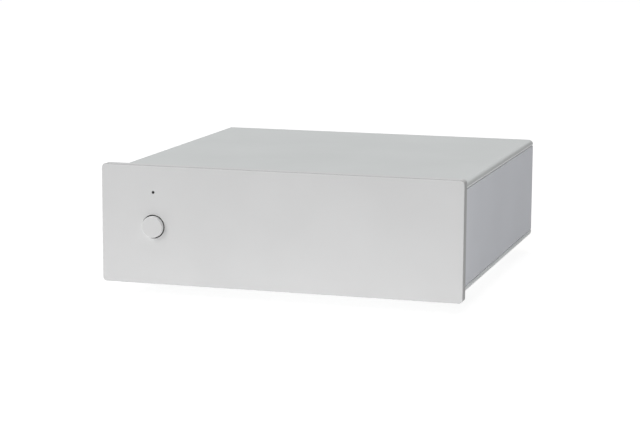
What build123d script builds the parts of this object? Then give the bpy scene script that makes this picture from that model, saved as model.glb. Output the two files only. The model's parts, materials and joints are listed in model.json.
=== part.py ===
from build123d import *
import os

# A small free-standing phono preamplifier. Its case is two extruded aluminium rails with two covers that
# slide on them, a thick front panel with one push button and one indicator, and a rear panel with sockets.
# Millimetres. +Z is up, -Y is the front, +X is the viewer's right. The origin is under the middle of the
# whole object, on the surface that it stands on.

os.makedirs("parts", exist_ok=True)

# ---------------------------------------------------------------- front panel
panel_width = 103.0
panel_height = 33.2
panel_thickness = 3.1
panel_corner_radius = 1.1
panel_edge_break = 0.1

# ---------------------------------------------------------------- case behind the panel
case_length = 100.3
side_overhang = 1.1
top_overhang = 1.7
bottom_overhang = 1.3
cover_thickness = 1.6
cover_edge_radius = 1.4
cover_lip_chamfer = 0.15
base_thickness = 1.8
base_edge_radius = 1.2
groove_height = 0.2
groove_depth = 0.3
plate_clearance = 0.1
front_plate_thickness = 1.5
rear_panel_thickness = 1.5

# ---------------------------------------------------------------- rails
rail_wall = 2.0
rail_edge_break = 0.1
rib_thickness = 1.0
rib_reach = 5.8
rib_drop = 1.8
slot_rib_reach = 2.5
slot_rib_thickness = 1.2
slot_play = 0.15
channel_outer_radius = 2.4
channel_hole_radius = 1.25
channel_slit = 1.2
channel_inset = 2.2
rib_root = 0.5

# ---------------------------------------------------------------- hooks under the covers
hook_gap = 0.3
hook_leg = 1.1
hook_toe_reach = 1.2
hook_toe_thickness = 0.9
hook_lift = 0.15
hook_end_gap = 0.2

# ---------------------------------------------------------------- screws
screw_play = 0.03
panel_screw_radius = 1.5
panel_screw_bite = 2.0
panel_screw_inset = 23.4
panel_screw_gap = 0.7
pan_head_radius = 2.4
pan_head_height = 1.6
pan_head_bevel = 0.8
flat_head_radius = 2.3
flat_head_height = 1.1
case_screw_length = 8.0
drive_radius = 0.9
drive_depth = 0.8

# ---------------------------------------------------------------- feet
foot_height = 5.1
foot_radius = 5.2
foot_ground_radius = 4.6
foot_edge_bevel = 0.6
foot_side_inset = 11.0
foot_front_inset = 20.0
foot_rear_inset = 14.0
foot_recess_radius = 3.0
foot_recess_depth = 2.6
foot_screw_radius = 1.5
foot_screw_proud = 0.8

# ---------------------------------------------------------------- circuit board
board_thickness = 1.6
board_rise = 6.4
board_side_play = 0.2
board_end_play = 0.4
board_corner = 1.0

# ---------------------------------------------------------------- power button and its switch
button_inset = 15.2
button_drop = 0.45
button_radius = 3.0
button_proud = 1.3
button_chamfer = 0.15
button_gap = 0.25
button_travel = 1.0
button_flange_radius = 4.2
button_flange_thickness = 0.8
flange_gap = 0.4
button_stem_radius = 2.4
button_stem_length = 5.0
plunger_radius = 1.4
plunger_play = 0.05
plunger_grip = 3.0
plunger_grip_play = 0.02
plunger_engaged = 5.0
plunger_chamfer = 0.3
switch_width = 8.4
switch_length = 11.0
switch_bore_spare = 2.0
switch_edge_break = 0.4
spring_length = 4.0
spring_radius = 2.05
spring_wire_radius = 0.2
spring_turns = 3.5

# ---------------------------------------------------------------- indicator
indicator_drop = 7.45
indicator_tip_radius = 0.37
indicator_tip_gap = 0.03
indicator_recess = 0.3
pipe_radius = 1.25
pipe_gap = 0.05
pipe_bend_radius = 3.5
pipe_to_switch = 1.2
led_length = 3.2
led_width = 2.0
led_height = 1.3
led_lens_height = 0.3
led_gap = 0.3

# ---------------------------------------------------------------- phono sockets
seat_play = 0.02
socket_spacing = 14.0
input_x = 29.0
output_x = -11.0
socket_axis_rise = 7.3
socket_ring_thickness = 2.0
socket_ring_radius = 5.9
socket_flange_thickness = 2.8
socket_flange_radius = 5.6
socket_flange_flat = 5.0
socket_sleeve_radius = 4.15
socket_sleeve_length = 9.8
socket_sleeve_chamfer = 0.4
socket_core_radius = 3.35
socket_core_setback = 0.6
socket_barrel_radius = 4.0
socket_panel_gap = 0.25
socket_washer_thickness = 1.0
socket_nut_thickness = 2.0
socket_nut_width = 11.0
socket_barrel_spare = 0.8
contact_outer_radius = 2.1
contact_bore_radius = 1.62
contact_entry_play = 0.1
contact_setback = 1.0
contact_tube_length = 8.5
contact_bore_depth = 7.5
contact_slot = 0.5
contact_tail_radius = 0.6
contact_tail_reach = 3.0
contact_slot_length = 5.0
solder_radius = 1.2
solder_height = 0.9

# ---------------------------------------------------------------- ground terminal
ground_post_radius = 2.0
ground_post_play = 0.04
ground_nut_width = 7.0
ground_nut_thickness = 2.4
ground_washer_radius = 4.3
ground_washer_thickness = 0.8
thumb_nut_radius = 4.8
thumb_nut_length = 5.5
thumb_nut_chamfer = 0.5
thumb_nut_grooves = 18
thumb_nut_groove_radius = 0.45
thumb_nut_play = 0.06
thumb_nut_neck_radius = 3.4
thumb_nut_neck_length = 1.2
ground_tip_proud = 0.6
ground_tip_chamfer = 0.4
ground_head_radius = 3.4
ground_head_thickness = 1.8
ground_tag_width = 2.4
ground_tag_thickness = 0.8

# ---------------------------------------------------------------- direct current inlet
inlet_inset = 15.4
inlet_axis_rise = 6.5
inlet_width = 9.0
inlet_length = 12.5
inlet_top = 4.4
inlet_edge_break = 0.5
inlet_nose_radius = 4.0
inlet_nose_gap = 0.1
inlet_bore_radius = 3.2
inlet_bore_depth = 9.5
inlet_pin_radius = 1.05
inlet_pin_setback = 0.8
inlet_pin_chamfer = 0.5
inlet_pin_root = 1.5

# ---------------------------------------------------------------- setting switches in the base
setting_positions = 4
setting_spacing = 2.54
setting_end = 0.75
setting_width = 6.4
setting_to_base = 1.2
setting_inset = 28.4
setting_setback = 45.0
window_margin = 0.3
window_corner_radius = 0.6
slider_knob_width = 1.1
slider_knob_length = 1.3
slider_proud = 0.8
slider_foot_width = 1.7
slider_foot_length = 1.9
slider_foot_thickness = 0.7
slider_travel = 1.6
slider_play = 0.12
slider_roof = 0.9

# ---------------------------------------------------------------- parts on the board
electrolytic_radius = 4.0
electrolytic_height = 11.5
electrolytic_bevel = 0.5
electrolytic_crimp_rise = 2.0
electrolytic_columns = 2
electrolytic_rows = 2
electrolytic_spacing = 11.0
electrolytic_inset = 25.7
electrolytic_setback = 48.0
film_length = 7.2
film_width = 3.0
film_height = 6.5
film_edge_bevel = 0.5
film_columns = 4
film_rows = 2
film_spacing_x = 9.5
film_spacing_y = 7.0
film_inset = 26.2
film_setback = 44.0
chip_length = 9.8
chip_width = 6.4
chip_height = 3.3
chip_standoff = 0.5
chip_pins_per_side = 4
chip_pin_spacing = 2.54
chip_pin_width = 0.6
chip_pin_thickness = 0.3
chip_columns = 3
chip_spacing = 15.0
chip_inset = 28.2
chip_setback = 66.0
relay_width = 7.6
relay_length = 14.0
relay_height = 9.8
relay_edge_bevel = 0.5
relay_inset = 28.2
relay_setback = 71.0
regulator_width = 10.0
regulator_length = 9.0
regulator_height = 4.5
regulator_bevel = 0.6
regulator_tab_length = 6.2
regulator_tab_thickness = 1.3
regulator_hole_radius = 1.8
regulator_leg_rise = 2.4
regulator_leg_reach = 3.0
regulator_leg_width = 0.9
regulator_leg_thickness = 0.5
regulator_leg_spacing = 2.54
regulator_inset = 10.2
regulator_setback = 62.0
resistor_radius = 1.2
resistor_length = 6.4
resistor_lead_width = 0.6
resistor_lead_span = 9.5
resistor_lift = 1.6
resistor_columns = 4
resistor_spacing_x = 12.0
resistor_rows = 2
resistor_spacing_y = 4.5
resistor_inset = 32.2
resistor_setback = 24.0

# ---------------------------------------------------------------- places worked out from the sizes
socket_reach = socket_ring_thickness + socket_flange_thickness + socket_sleeve_length
overall_depth = button_proud + panel_thickness + case_length + socket_reach
front_y = button_proud - overall_depth / 2
panel_back_y = front_y + panel_thickness
plate_back_y = panel_back_y + front_plate_thickness
rear_y = panel_back_y + case_length
rear_inner_y = rear_y - rear_panel_thickness

base_z = foot_height
base_top_z = base_z + base_thickness
panel_bottom_z = base_z - bottom_overhang
panel_middle_z = panel_bottom_z + panel_height / 2
cover_top_z = panel_bottom_z + panel_height - top_overhang
cover_under_z = cover_top_z - cover_thickness

case_half = panel_width / 2 - side_overhang
rail_inner_x = case_half - rail_wall
channel_x = rail_inner_x - channel_inset
rib_end_x = rail_inner_x - rib_reach
leg_outer_x = rib_end_x - hook_gap
leg_inner_x = leg_outer_x - hook_leg
toe_end_x = leg_outer_x + hook_toe_reach
toe_drop = rib_drop + rib_thickness + hook_lift

board_bottom_z = base_top_z + board_rise
board_top_z = board_bottom_z + board_thickness
board_front_y = plate_back_y + board_end_play
board_back_y = rear_inner_y - board_end_play
board_half = rail_inner_x - board_side_play
lower_channel_z = board_bottom_z - slot_rib_thickness / 4 - channel_outer_radius
upper_channel_z = cover_under_z - rib_drop - rib_thickness / 2 - channel_outer_radius

button_x = button_inset - panel_width / 2
button_z = panel_middle_z - button_drop
indicator_z = panel_bottom_z + panel_height - indicator_drop
flange_back_y = panel_back_y + button_flange_thickness
stem_back_y = flange_back_y + button_stem_length
switch_front_y = stem_back_y + spring_length
switch_back_y = switch_front_y + switch_length
pipe_y = switch_back_y + pipe_to_switch + pipe_radius

socket_z = board_top_z + socket_axis_rise
nut_seat_y = rear_inner_y - socket_washer_thickness
barrel_end_y = nut_seat_y - socket_nut_thickness - socket_barrel_spare
sleeve_end_y = rear_y + socket_reach
ground_x = (input_x + output_x) / 2
inlet_x = inlet_inset - case_half
inlet_z = board_top_z + inlet_axis_rise

setting_under_z = base_top_z + setting_to_base
setting_x = case_half - setting_inset
setting_y = front_y + setting_setback
setting_length = setting_positions * setting_spacing + 2 * setting_end

socket_places = {
    "input_left": input_x - socket_spacing / 2,
    "input_right": input_x + socket_spacing / 2,
    "output_right": output_x - socket_spacing / 2,
    "output_left": output_x + socket_spacing / 2,
}
screw_places = [
    (side * channel_x, height)
    for side in (-1, 1)
    for height in (lower_channel_z, upper_channel_z)
]
panel_screw_places = [
    (side * (case_half - panel_screw_inset), ceiling - panel_screw_gap - pan_head_radius)
    for side in (-1, 1)
    for ceiling in (board_bottom_z, cover_under_z)
]
foot_places = {
    "foot_front_left": (foot_side_inset - case_half, panel_back_y + foot_front_inset),
    "foot_front_right": (case_half - foot_side_inset, panel_back_y + foot_front_inset),
    "foot_rear_left": (foot_side_inset - case_half, rear_y - foot_rear_inset),
    "foot_rear_right": (case_half - foot_side_inset, rear_y - foot_rear_inset),
}


# ---------------------------------------------------------------- helpers
def between(low_x, high_x, low_z, high_z):
    """A flat rectangle in a cross-section of the case."""
    middle = Pos((low_x + high_x) / 2, (low_z + high_z) / 2)
    return middle * Rectangle(high_x - low_x, high_z - low_z)


def run_back(section, start_y, end_y):
    """Extrude a cross-section of the case from start_y towards the rear."""
    plane = Plane(origin=(0, start_y, 0), x_dir=(1, 0, 0), z_dir=(0, -1, 0))
    return extrude(plane * section, amount=end_y - start_y, dir=(0, 1, 0))


def block(low, high):
    """A box from its lowest to its highest corner."""
    size = [high[i] - low[i] for i in range(3)]
    middle = [(high[i] + low[i]) / 2 for i in range(3)]
    return Pos(*middle) * Box(*size)


def rod(radius, start_y, end_y, x, z):
    """A round bar along Y."""
    return Pos(x, (start_y + end_y) / 2, z) * Rot(90, 0, 0) * Cylinder(radius, end_y - start_y)


def post(radius, low_z, high_z, x, y):
    """A round upright bar."""
    return Pos(x, y, (low_z + high_z) / 2) * Cylinder(radius, high_z - low_z)


def turned(outline, x, z):
    """A piece turned about a line along Y. The outline is a list of (radius, y)."""
    face = make_face(Polyline(*outline, close=True))
    return Pos(x, 0, z) * revolve(face, Axis.Y)


def turned_upright(outline, x, y):
    """A piece turned about a vertical line. The outline is a list of (radius, z)."""
    face = make_face(Polyline(*[(radius, 0, z) for radius, z in outline], close=True))
    return Pos(x, y, 0) * revolve(face, Axis.Z)


def hex_nut(width, hole_radius, start_y, end_y, x, z):
    """A hexagon nut on a line along Y, with a corner at the bottom."""
    section = RegularPolygon(width / 2, 6, major_radius=False, rotation=30) - Circle(hole_radius)
    return run_back(Pos(x, z) * section, start_y, end_y)


def group(pieces):
    """Separate solids that share one node."""
    return Compound(children=[solid for piece in pieces for solid in piece.solids()])


def grid(columns, rows, pitch_x, pitch_y, x, y):
    """Places in rows and columns about a middle point."""
    return [
        (x + (column - (columns - 1) / 2) * pitch_x, y + (row - (rows - 1) / 2) * pitch_y)
        for row in range(rows)
        for column in range(columns)
    ]


# ---------------------------------------------------------------- case
def front_panel():
    section = Pos(0, panel_middle_z) * RectangleRounded(panel_width, panel_height, panel_corner_radius)
    panel = run_back(section, front_y, panel_back_y)
    rim = panel.faces().sort_by(Axis.Y)[0].edges()
    panel = chamfer(rim, panel_edge_break)
    panel -= rod(button_radius + button_gap, front_y, panel_back_y, button_x, button_z)
    panel -= rod(indicator_tip_radius + indicator_tip_gap, front_y, panel_back_y, button_x, indicator_z)
    for x, z in panel_screw_places:
        panel -= rod(panel_screw_radius, panel_back_y - panel_screw_bite, panel_back_y, x, z)
    return panel


def inner_wall_section():
    """The outline of the plates that close the case between the rails and the covers."""
    half = rail_inner_x - plate_clearance
    return between(-half, half, base_top_z + plate_clearance, cover_under_z - plate_clearance)


def flat_head_cone(x, z, play):
    """The cone of a countersunk head at the front plate's front face."""
    outline = [
        (0, panel_back_y),
        (flat_head_radius + play, panel_back_y),
        (channel_hole_radius + play, panel_back_y + flat_head_height),
        (0, panel_back_y + flat_head_height),
    ]
    return turned(outline, x, z)


def front_plate():
    plate = run_back(inner_wall_section(), panel_back_y, plate_back_y)
    plate -= rod(button_flange_radius + flange_gap, panel_back_y, plate_back_y, button_x, button_z)
    plate -= rod(pipe_radius + pipe_gap, panel_back_y, plate_back_y, button_x, indicator_z)
    for x, z in screw_places:
        plate -= rod(channel_hole_radius + screw_play, panel_back_y, plate_back_y, x, z)
        plate -= flat_head_cone(x, z, screw_play)
    for x, z in panel_screw_places:
        plate -= rod(panel_screw_radius + screw_play, panel_back_y, plate_back_y, x, z)
    return plate


def cover_hooks(cover_face_z, inward):
    """The two rows of hooks that slide along the rails. inward is -1 under the top cover, 1 on the base."""
    leg_end_z = cover_face_z + inward * (toe_drop + hook_toe_thickness)
    toe_start_z = cover_face_z + inward * toe_drop
    low_leg, high_leg = sorted((cover_face_z, leg_end_z))
    low_toe, high_toe = sorted((toe_start_z, leg_end_z))
    hooks = Sketch()
    for side in (-1, 1):
        low_x, high_x = sorted((side * leg_inner_x, side * leg_outer_x))
        hooks += between(low_x, high_x, low_leg, high_leg)
        low_x, high_x = sorted((side * leg_inner_x, side * toe_end_x))
        hooks += between(low_x, high_x, low_toe, high_toe)
    return run_back(hooks, plate_back_y + hook_end_gap, rear_inner_y - hook_end_gap)


def top_cover():
    section = between(-case_half, case_half, cover_under_z, cover_top_z)
    section = fillet(section.vertices().group_by(Axis.Y)[-1], cover_edge_radius)
    section = chamfer(section.vertices().group_by(Axis.Y)[0], cover_lip_chamfer)
    cover = run_back(section, panel_back_y, rear_y)
    return cover + cover_hooks(cover_under_z, -1)


def bottom_cover():
    section = between(-case_half, case_half, base_z, base_top_z)
    section = fillet(section.vertices().group_by(Axis.Y)[0], base_edge_radius)
    section = chamfer(section.vertices().group_by(Axis.Y)[-1], cover_lip_chamfer)
    cover = run_back(section, panel_back_y, rear_y) + cover_hooks(base_top_z, 1)
    for x, y in foot_places.values():
        cover -= post(foot_screw_radius + screw_play, base_z, base_top_z, x, y)
    window = RectangleRounded(
        setting_length + 2 * window_margin, setting_width + 2 * window_margin, window_corner_radius
    )
    for side in (-1, 1):
        cover -= Pos(side * setting_x, setting_y, base_z) * extrude(window, amount=base_thickness)
    return cover


def rail_wall_section():
    """The outer wall of the right-hand rail, stepped in above and below to leave the shadow grooves."""
    core = between(rail_inner_x, case_half - groove_depth, base_top_z, cover_under_z)
    skin = between(rail_inner_x, case_half, base_top_z + groove_height, cover_under_z - groove_height)
    wall = core + skin
    return fillet(wall.vertices().group_by(Axis.X)[-1], rail_edge_break)


def rail_inner_section():
    """Ribs, board slot and screw channels inside the right-hand rail."""
    root_x = rail_inner_x + rib_root
    upper_rib_top = cover_under_z - rib_drop
    lower_rib_bottom = base_top_z + rib_drop
    slot_x = rail_inner_x - slot_rib_reach
    slot_roof = board_top_z + slot_play
    inner = between(rib_end_x, root_x, upper_rib_top - rib_thickness, upper_rib_top)
    inner += between(rib_end_x, root_x, lower_rib_bottom, lower_rib_bottom + rib_thickness)
    inner += between(slot_x, root_x, board_bottom_z - slot_rib_thickness, board_bottom_z)
    inner += between(slot_x, root_x, slot_roof, slot_roof + slot_rib_thickness)
    for height in (lower_channel_z, upper_channel_z):
        inner += Pos(channel_x, height) * Circle(channel_outer_radius)
        inner += between(channel_x, root_x, height - channel_slit, height + channel_slit)
    for height in (lower_channel_z, upper_channel_z):
        inner -= Pos(channel_x, height) * Circle(channel_hole_radius)
        slit_end = channel_x - channel_outer_radius - rib_root
        inner -= between(slit_end, channel_x, height - channel_slit / 2, height + channel_slit / 2)
    return inner


def right_rail():
    rail = run_back(rail_wall_section(), panel_back_y, rear_y)
    return rail + run_back(rail_inner_section(), plate_back_y, rear_inner_y)


def left_rail():
    return mirror(right_rail(), about=Plane.YZ)


def rear_panel():
    panel = run_back(inner_wall_section(), rear_inner_y, rear_y)
    for x in socket_places.values():
        panel -= rod(socket_barrel_radius + socket_panel_gap, rear_inner_y, rear_y, x, socket_z)
    panel -= rod(ground_post_radius + ground_post_play, rear_inner_y, rear_y, ground_x, socket_z)
    panel -= rod(inlet_nose_radius + inlet_nose_gap, rear_inner_y, rear_y, inlet_x, inlet_z)
    for x, z in screw_places:
        panel -= rod(channel_hole_radius + screw_play, rear_inner_y, rear_y, x, z)
    return panel


# ---------------------------------------------------------------- screws
def pan_head(seat, outward):
    """The outline of a pan head from its seat, as (radius, place along the screw)."""
    return [
        (0, seat),
        (pan_head_radius, seat),
        (pan_head_radius, seat + outward * (pan_head_height - pan_head_bevel)),
        (pan_head_radius - pan_head_bevel, seat + outward * pan_head_height),
        (0, seat + outward * pan_head_height),
    ]


def drive_hole(face_y, depth, x, z):
    """A hexagon socket cut into a screw head."""
    low, high = sorted((face_y, face_y + depth))
    return run_back(Pos(x, z) * RegularPolygon(drive_radius, 6), low, high)


def front_plate_screws():
    shank_end = panel_back_y + case_screw_length
    screws = []
    for x, z in screw_places:
        screw = flat_head_cone(x, z, 0)
        screw += rod(channel_hole_radius - screw_play, panel_back_y, shank_end, x, z)
        screws.append(screw - drive_hole(panel_back_y, drive_depth, x, z))
    return group(screws)


def panel_screws():
    head_back = plate_back_y + pan_head_height
    screws = []
    for x, z in panel_screw_places:
        screw = turned(pan_head(plate_back_y, 1), x, z)
        screw += rod(panel_screw_radius - screw_play, panel_back_y - panel_screw_bite, plate_back_y, x, z)
        screws.append(screw - drive_hole(head_back, -drive_depth, x, z))
    return group(screws)


def rear_panel_screws():
    head_back = rear_y + pan_head_height
    screws = []
    for x, z in screw_places:
        screw = turned(pan_head(rear_y, 1), x, z)
        screw += rod(channel_hole_radius - screw_play, rear_y - case_screw_length, rear_y, x, z)
        screws.append(screw - drive_hole(head_back, -drive_depth, x, z))
    return group(screws)


# ---------------------------------------------------------------- feet
def foot(x, y):
    outline = [
        (foot_recess_radius, 0),
        (foot_ground_radius - foot_edge_bevel, 0),
        (foot_ground_radius, foot_edge_bevel),
        (foot_radius, foot_height),
        (foot_screw_radius + screw_play, foot_height),
        (foot_screw_radius + screw_play, foot_recess_depth),
        (foot_recess_radius, foot_recess_depth),
    ]
    return turned_upright(outline, x, y)


def foot_screws():
    head_bottom = foot_recess_depth - pan_head_height
    tip = base_top_z + foot_screw_proud
    screws = []
    for x, y in foot_places.values():
        screw = turned_upright(pan_head(foot_recess_depth, -1), x, y)
        screw += post(foot_screw_radius, foot_recess_depth, tip, x, y)
        drive = Pos(x, y, head_bottom) * extrude(RegularPolygon(drive_radius, 6), amount=drive_depth)
        screws.append(screw - drive)
    return group(screws)


# ---------------------------------------------------------------- circuit board
def main_board():
    board = block((-board_half, board_front_y, board_bottom_z), (board_half, board_back_y, board_top_z))
    return chamfer(board.edges().filter_by(Axis.Z), board_corner)


def electrolytic_capacitors():
    top = board_top_z + electrolytic_height
    crimp = board_top_z + electrolytic_crimp_rise
    outline = [
        (0, board_top_z),
        (electrolytic_radius, board_top_z),
        (electrolytic_radius, crimp - electrolytic_bevel),
        (electrolytic_radius - electrolytic_bevel / 2, crimp),
        (electrolytic_radius, crimp + electrolytic_bevel),
        (electrolytic_radius, top - electrolytic_bevel),
        (electrolytic_radius - electrolytic_bevel, top),
        (0, top),
    ]
    pitch = electrolytic_spacing
    middle_x = electrolytic_inset - board_half
    middle_y = front_y + electrolytic_setback
    places = grid(electrolytic_columns, electrolytic_rows, pitch, pitch, middle_x, middle_y)
    return group([turned_upright(outline, x, y) for x, y in places])


def film_capacitors():
    middle_x = board_half - film_inset
    middle_y = front_y + film_setback
    box = Box(film_length, film_width, film_height)
    box = chamfer(box.edges().filter_by(Axis.Z) + box.edges().group_by(Axis.Z)[-1], film_edge_bevel)
    places = grid(film_columns, film_rows, film_spacing_x, film_spacing_y, middle_x, middle_y)
    return group([Pos(x, y, board_top_z + film_height / 2) * box for x, y in places])


def op_amp(x, y):
    """A dual in-line chip with its legs down to the board."""
    low_z = board_top_z + chip_standoff
    half_length = chip_length / 2
    half_width = chip_width / 2
    low = (x - half_length, y - half_width, low_z)
    chip = block(low, (x + half_length, y + half_width, low_z + chip_height))
    shoulder_z = low_z + chip_height / 2
    for side in (-1, 1):
        for leg in range(chip_pins_per_side):
            leg_x = x + (leg - (chip_pins_per_side - 1) / 2) * chip_pin_spacing
            inner_y, outer_y = sorted((y + side * half_width, y + side * (half_width + chip_pin_width)))
            low_x = leg_x - chip_pin_width / 2
            high_x = leg_x + chip_pin_width / 2
            chip += block((low_x, inner_y, shoulder_z), (high_x, outer_y, shoulder_z + chip_pin_thickness))
            edge_y = y + side * (half_width + chip_pin_width)
            inner_y, outer_y = sorted((edge_y - side * chip_pin_thickness, edge_y))
            chip += block((low_x, inner_y, board_top_z), (high_x, outer_y, shoulder_z + chip_pin_thickness))
    return chip


def op_amps():
    places = grid(chip_columns, 1, chip_spacing, 0, board_half - chip_inset, front_y + chip_setback)
    return group([op_amp(x, y) for x, y in places])


def muting_relay():
    middle = Pos(relay_inset - board_half, front_y + relay_setback, board_top_z + relay_height / 2)
    relay = middle * Box(relay_width, relay_length, relay_height)
    return chamfer(relay.edges().filter_by(Axis.Z) + relay.edges().group_by(Axis.Z)[-1], relay_edge_bevel)


def voltage_regulator():
    """A regulator that lies on its metal tab, with three legs bent down to the board."""
    x = regulator_inset - board_half
    front = front_y + regulator_setback
    back = front + regulator_length
    half = regulator_width / 2
    body = block((x - half, front, board_top_z), (x + half, back, board_top_z + regulator_height))
    body = chamfer(body.edges().filter_by(Axis.X).group_by(Axis.Z)[-1], regulator_bevel)
    tab_top = board_top_z + regulator_tab_thickness
    tab_end = back + regulator_tab_length
    tab = block((x - half, back, board_top_z), (x + half, tab_end, tab_top))
    tab = chamfer(tab.edges().filter_by(Axis.Z).group_by(Axis.Y)[-1], regulator_bevel)
    hole_y = back + regulator_tab_length / 2
    regulator = body + tab - post(regulator_hole_radius, board_top_z, tab_top, x, hole_y)
    leg_z = board_top_z + regulator_leg_rise
    leg_front = front - regulator_leg_reach
    leg_back = leg_front + regulator_leg_thickness
    for leg in (-1, 0, 1):
        low_x = x + leg * regulator_leg_spacing - regulator_leg_width / 2
        high_x = low_x + regulator_leg_width
        regulator += block((low_x, leg_front, leg_z - regulator_leg_thickness), (high_x, front, leg_z))
        regulator += block((low_x, leg_front, board_top_z), (high_x, leg_back, leg_z))
    return regulator


def resistor(x, y):
    """An axial resistor lying across the board on two bent leads."""
    axis_z = board_top_z + resistor_lift
    body = Pos(x, y, axis_z) * Rot(0, 90, 0) * Cylinder(resistor_radius, resistor_length)
    half_lead = resistor_lead_width / 2
    outer = resistor_lead_span / 2 + half_lead
    inner = outer - resistor_lead_width
    top_z = axis_z + half_lead
    lead = block((x - outer, y - half_lead, board_top_z), (x + outer, y + half_lead, top_z))
    lead -= block((x - inner, y - half_lead, board_top_z), (x + inner, y + half_lead, axis_z - half_lead))
    return body + lead


def resistors():
    pitch_x = resistor_spacing_x
    pitch_y = resistor_spacing_y
    middle_x = board_half - resistor_inset
    middle_y = front_y + resistor_setback
    places = grid(resistor_columns, resistor_rows, pitch_x, pitch_y, middle_x, middle_y)
    return group([resistor(x, y) for x, y in places])


# ---------------------------------------------------------------- power button and its switch
def power_button():
    outline = [
        (0, front_y - button_proud),
        (button_radius - button_chamfer, front_y - button_proud),
        (button_radius, front_y - button_proud + button_chamfer),
        (button_radius, panel_back_y),
        (button_flange_radius, panel_back_y),
        (button_flange_radius, flange_back_y),
        (button_stem_radius, flange_back_y),
        (button_stem_radius, stem_back_y),
        (plunger_radius + plunger_grip_play, stem_back_y),
        (plunger_radius + plunger_grip_play, stem_back_y - plunger_grip),
        (0, stem_back_y - plunger_grip),
    ]
    return turned(outline, button_x, button_z)


def switch_plunger():
    inner_end = switch_front_y + plunger_engaged
    plunger = rod(plunger_radius, stem_back_y - plunger_grip, inner_end, button_x, button_z)
    return chamfer(plunger.edges().filter_by(GeomType.CIRCLE), plunger_chamfer)


def switch_housing():
    half = switch_width / 2
    top = 2 * button_z - board_top_z
    low = (button_x - half, switch_front_y, board_top_z)
    high = (button_x + half, switch_back_y, top)
    housing = chamfer(block(low, high).edges().filter_by(Axis.Y), switch_edge_break)
    bore_end = switch_front_y + plunger_engaged + button_travel + switch_bore_spare
    return housing - rod(plunger_radius + plunger_play, switch_front_y, bore_end, button_x, button_z)


def return_spring():
    start_y = stem_back_y + spring_wire_radius + seat_play
    height = spring_length - 2 * spring_wire_radius - 2 * seat_play
    start = (button_x, start_y, button_z)
    coil = Helix(height / spring_turns, height, spring_radius, center=start, direction=(0, 1, 0))
    section = Plane(origin=coil @ 0, z_dir=coil % 0) * RegularPolygon(spring_wire_radius, 6)
    return sweep(section, path=coil, is_frenet=True)


# ---------------------------------------------------------------- indicator
def status_led():
    half = led_length / 2
    lens = led_width / 2 - switch_edge_break
    body_top = board_top_z + led_height - led_lens_height
    low = (button_x - half, pipe_y - led_width / 2, board_top_z)
    led = block(low, (button_x + half, pipe_y + led_width / 2, body_top))
    return led + post(lens, body_top, board_top_z + led_height, button_x, pipe_y)


def light_pipe():
    """A clear rod that rises from the light, bends forward and ends in a fine tip in the front panel."""
    foot = (button_x, pipe_y, board_top_z + led_height + led_gap)
    elbow = (button_x, pipe_y, indicator_z)
    shoulder = (button_x, panel_back_y, indicator_z)
    path = FilletPolyline(foot, elbow, shoulder, radius=pipe_bend_radius)
    pipe = sweep(Plane(origin=foot) * Circle(pipe_radius), path=path)
    return pipe + rod(indicator_tip_radius, front_y + indicator_recess, panel_back_y, button_x, indicator_z)


# ---------------------------------------------------------------- phono sockets
def socket_shell(x):
    flange_y = rear_y + socket_ring_thickness
    sleeve_y = flange_y + socket_flange_thickness
    outline = [
        (socket_core_radius, barrel_end_y),
        (socket_barrel_radius, barrel_end_y),
        (socket_barrel_radius, flange_y),
        (socket_flange_radius, flange_y),
        (socket_flange_radius, sleeve_y),
        (socket_sleeve_radius, sleeve_y),
        (socket_sleeve_radius, sleeve_end_y - socket_sleeve_chamfer),
        (socket_sleeve_radius - socket_sleeve_chamfer, sleeve_end_y),
        (socket_core_radius, sleeve_end_y),
    ]
    shell = turned(outline, x, socket_z)
    reach = socket_flange_radius
    for side in (-1, 1):
        low_z, high_z = sorted((socket_z + side * socket_flange_flat, socket_z + side * reach))
        shell -= run_back(between(x - reach, x + reach, low_z, high_z), flange_y, sleeve_y)
    return shell


def socket_ring(x):
    """The coloured insulating ring, with a shoulder that centres the shell in the panel's hole."""
    outline = [
        (socket_barrel_radius + seat_play, rear_inner_y),
        (socket_barrel_radius + socket_panel_gap - seat_play, rear_inner_y),
        (socket_barrel_radius + socket_panel_gap - seat_play, rear_y),
        (socket_ring_radius, rear_y),
        (socket_ring_radius, rear_y + socket_ring_thickness),
        (socket_barrel_radius + seat_play, rear_y + socket_ring_thickness),
    ]
    return turned(outline, x, socket_z)


def socket_core(x):
    core_end = sleeve_end_y - socket_core_setback
    tube_front = core_end - contact_setback
    tube_back = tube_front - contact_tube_length
    entry = contact_bore_radius + contact_entry_play
    outline = [
        (contact_tail_radius + seat_play, barrel_end_y),
        (socket_core_radius - seat_play, barrel_end_y),
        (socket_core_radius - seat_play, core_end),
        (entry, core_end),
        (entry, tube_front),
        (contact_outer_radius + seat_play, tube_front),
        (contact_outer_radius + seat_play, tube_back),
        (contact_tail_radius + seat_play, tube_back),
    ]
    return turned(outline, x, socket_z)


def socket_contact(x):
    """A spring tube for the plug's pin, slit from side to side, with a tail that turns down to the board."""
    tube_front = sleeve_end_y - socket_core_setback - contact_setback
    tube_back = tube_front - contact_tube_length
    contact = rod(contact_outer_radius, tube_back, tube_front, x, socket_z)
    contact -= rod(contact_bore_radius, tube_front - contact_bore_depth, tube_front, x, socket_z)
    half = contact_slot / 2
    slit = between(x - contact_outer_radius, x + contact_outer_radius, socket_z - half, socket_z + half)
    contact -= run_back(slit, tube_front - contact_slot_length, tube_front)
    tail_y = barrel_end_y - contact_tail_reach
    contact += rod(contact_tail_radius, tail_y - contact_tail_radius, tube_back, x, socket_z)
    contact += post(contact_tail_radius, board_top_z, socket_z, x, tail_y)
    joint = [
        (0, board_top_z),
        (solder_radius, board_top_z),
        (contact_tail_radius, board_top_z + solder_height),
        (0, board_top_z + solder_height),
    ]
    return contact + turned_upright(joint, x, tail_y)


def socket_contacts():
    return group([socket_contact(x) for x in socket_places.values()])


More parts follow.
